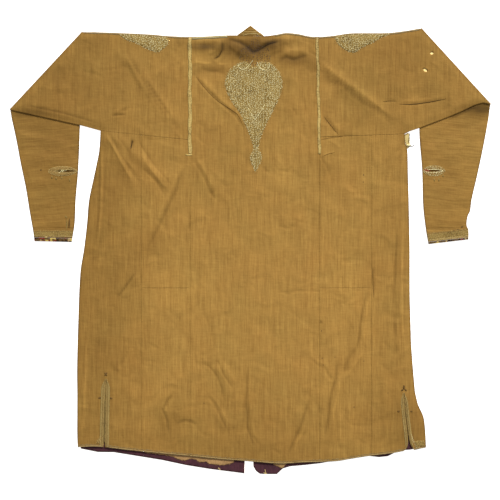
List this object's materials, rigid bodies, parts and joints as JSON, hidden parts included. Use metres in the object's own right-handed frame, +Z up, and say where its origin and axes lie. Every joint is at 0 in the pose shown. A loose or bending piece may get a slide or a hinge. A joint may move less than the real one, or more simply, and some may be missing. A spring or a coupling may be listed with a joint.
{
  "type": "long robe",
  "caption": "Lined long robe laid flat and face down, with gold embroidered back, tapes and cuffs, and both sleeves folded under at the elbow.",
  "frame": {"origin": "centre of the robe's footprint, on the surface that it lies on", "axes": "+X across the shoulders to the right as seen from above, +Y from the hem towards the neck, +Z up from the surface"},
  "size_m": [1.3606, 1.269, 0.0071],
  "materials": {
    "robe_cloth": "matt wool and silk cloth with uneven slubbed threads, mustard brown",
    "cuff_embroidery": "dull gold metal-thread embroidery on the robe's cloth",
    "patterned_lining": "dark red lining cloth with small yellow and black figures",
    "gold_tape": "woven gold metal-thread tape, worn",
    "neck_embroidery": "bands of dull gold couched thread",
    "maroon_facing": "dark maroon plain-woven facing cloth",
    "tan_inner_cloth": "frayed tan inner cloth",
    "cream_lining": "torn cream cotton lining"
  },
  "bodies": {
    "root": {"back_centre": "robe_cloth", "back_inner_gore_left_upper": "robe_cloth", "back_inner_gore_left_lower": "robe_cloth", "back_inner_gore_right_upper": "robe_cloth", "back_inner_gore_right_lower": "robe_cloth", "back_outer_gore_left": "robe_cloth", "back_outer_gore_right": "robe_cloth", "front_left": "robe_cloth", "front_right": "robe_cloth", "sleeve_left_inner": "robe_cloth", "sleeve_left_outer": "robe_cloth", "sleeve_right_inner": "robe_cloth", "sleeve_right_outer": "robe_cloth", "cuff_left": "cuff_embroidery", "cuff_right": "cuff_embroidery", "cuff_edging_left": "patterned_lining", "cuff_edging_right": "patterned_lining", "tape_left": "gold_tape", "tape_right": "gold_tape", "hem_braid": "gold_tape", "neck_point": "neck_embroidery", "hem_facing_left": "maroon_facing", "hem_facing_right": "maroon_facing", "hem_scrap": "tan_inner_cloth", "hem_tongue": "tan_inner_cloth", "underarm_lining": "cream_lining"}
  },
  "joints": []
}
